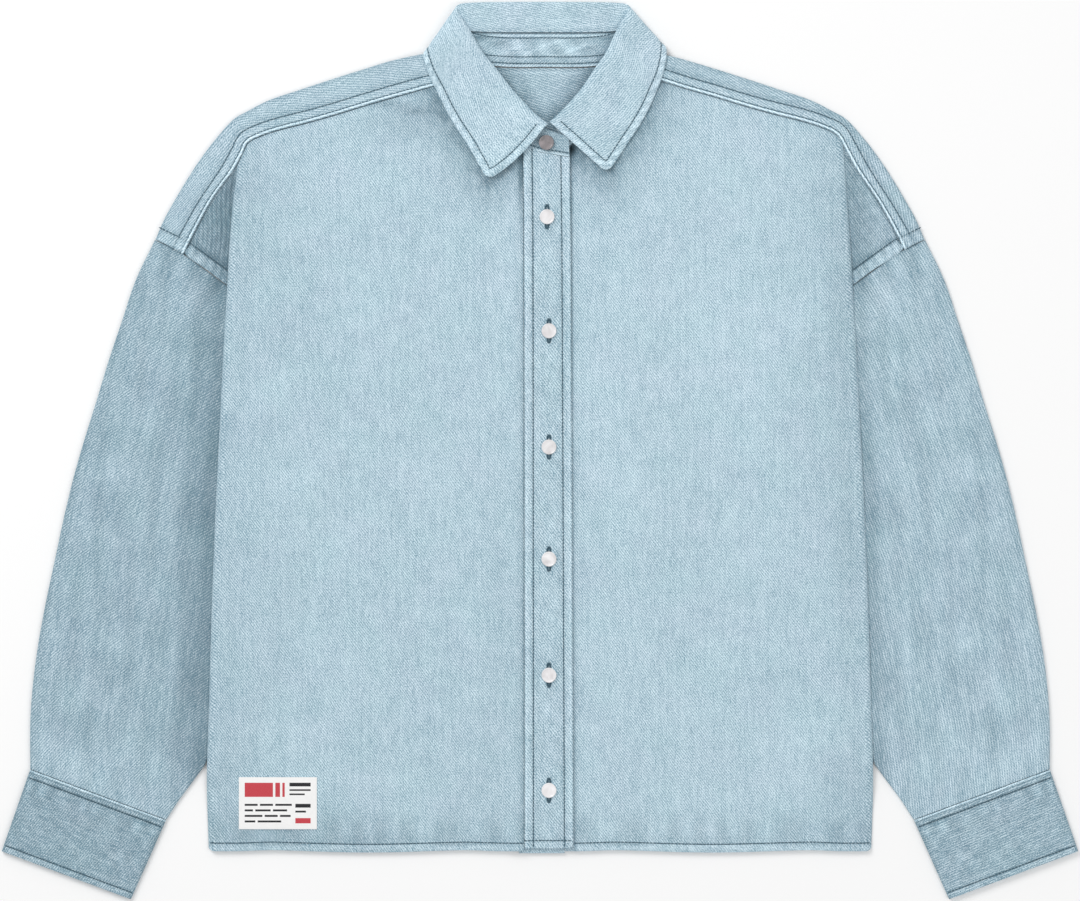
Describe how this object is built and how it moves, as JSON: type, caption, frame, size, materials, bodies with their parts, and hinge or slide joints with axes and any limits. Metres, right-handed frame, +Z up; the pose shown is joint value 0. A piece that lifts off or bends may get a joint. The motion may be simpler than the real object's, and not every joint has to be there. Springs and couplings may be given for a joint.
{
  "type": "denim shirt",
  "caption": "Long-sleeved cropped denim shirt with dropped shoulders, a collar on a stand, a buttoned placket and wide cuffs, laid flat on its back.",
  "frame": {"origin": "on the surface that the shirt lies on, under the middle of its bounding box", "axes": "+X towards the wearer's left, across the sleeves; +Y towards the collar; +Z up from the surface"},
  "size_m": [0.9146, 0.7624, 0.0122],
  "materials": {
    "denim": "washed pale blue denim twill",
    "label_cloth": "plain white woven cloth",
    "pearl": "satin pale pearl"
  },
  "bodies": {
    "root": {"back": "denim", "yoke": "denim", "front_right": "denim", "sleeve_right": "denim", "cuff_right": "denim", "front_left": "denim", "sleeve_left": "denim", "cuff_left": "denim", "button_band": "denim", "placket": "denim", "collar_stand": "denim", "collar_fall": "denim", "label": "label_cloth", "button_1": "pearl", "button_2": "pearl", "button_3": "pearl", "button_4": "pearl", "button_5": "pearl", "button_6": "pearl", "button_stand": "pearl"}
  },
  "joints": []
}
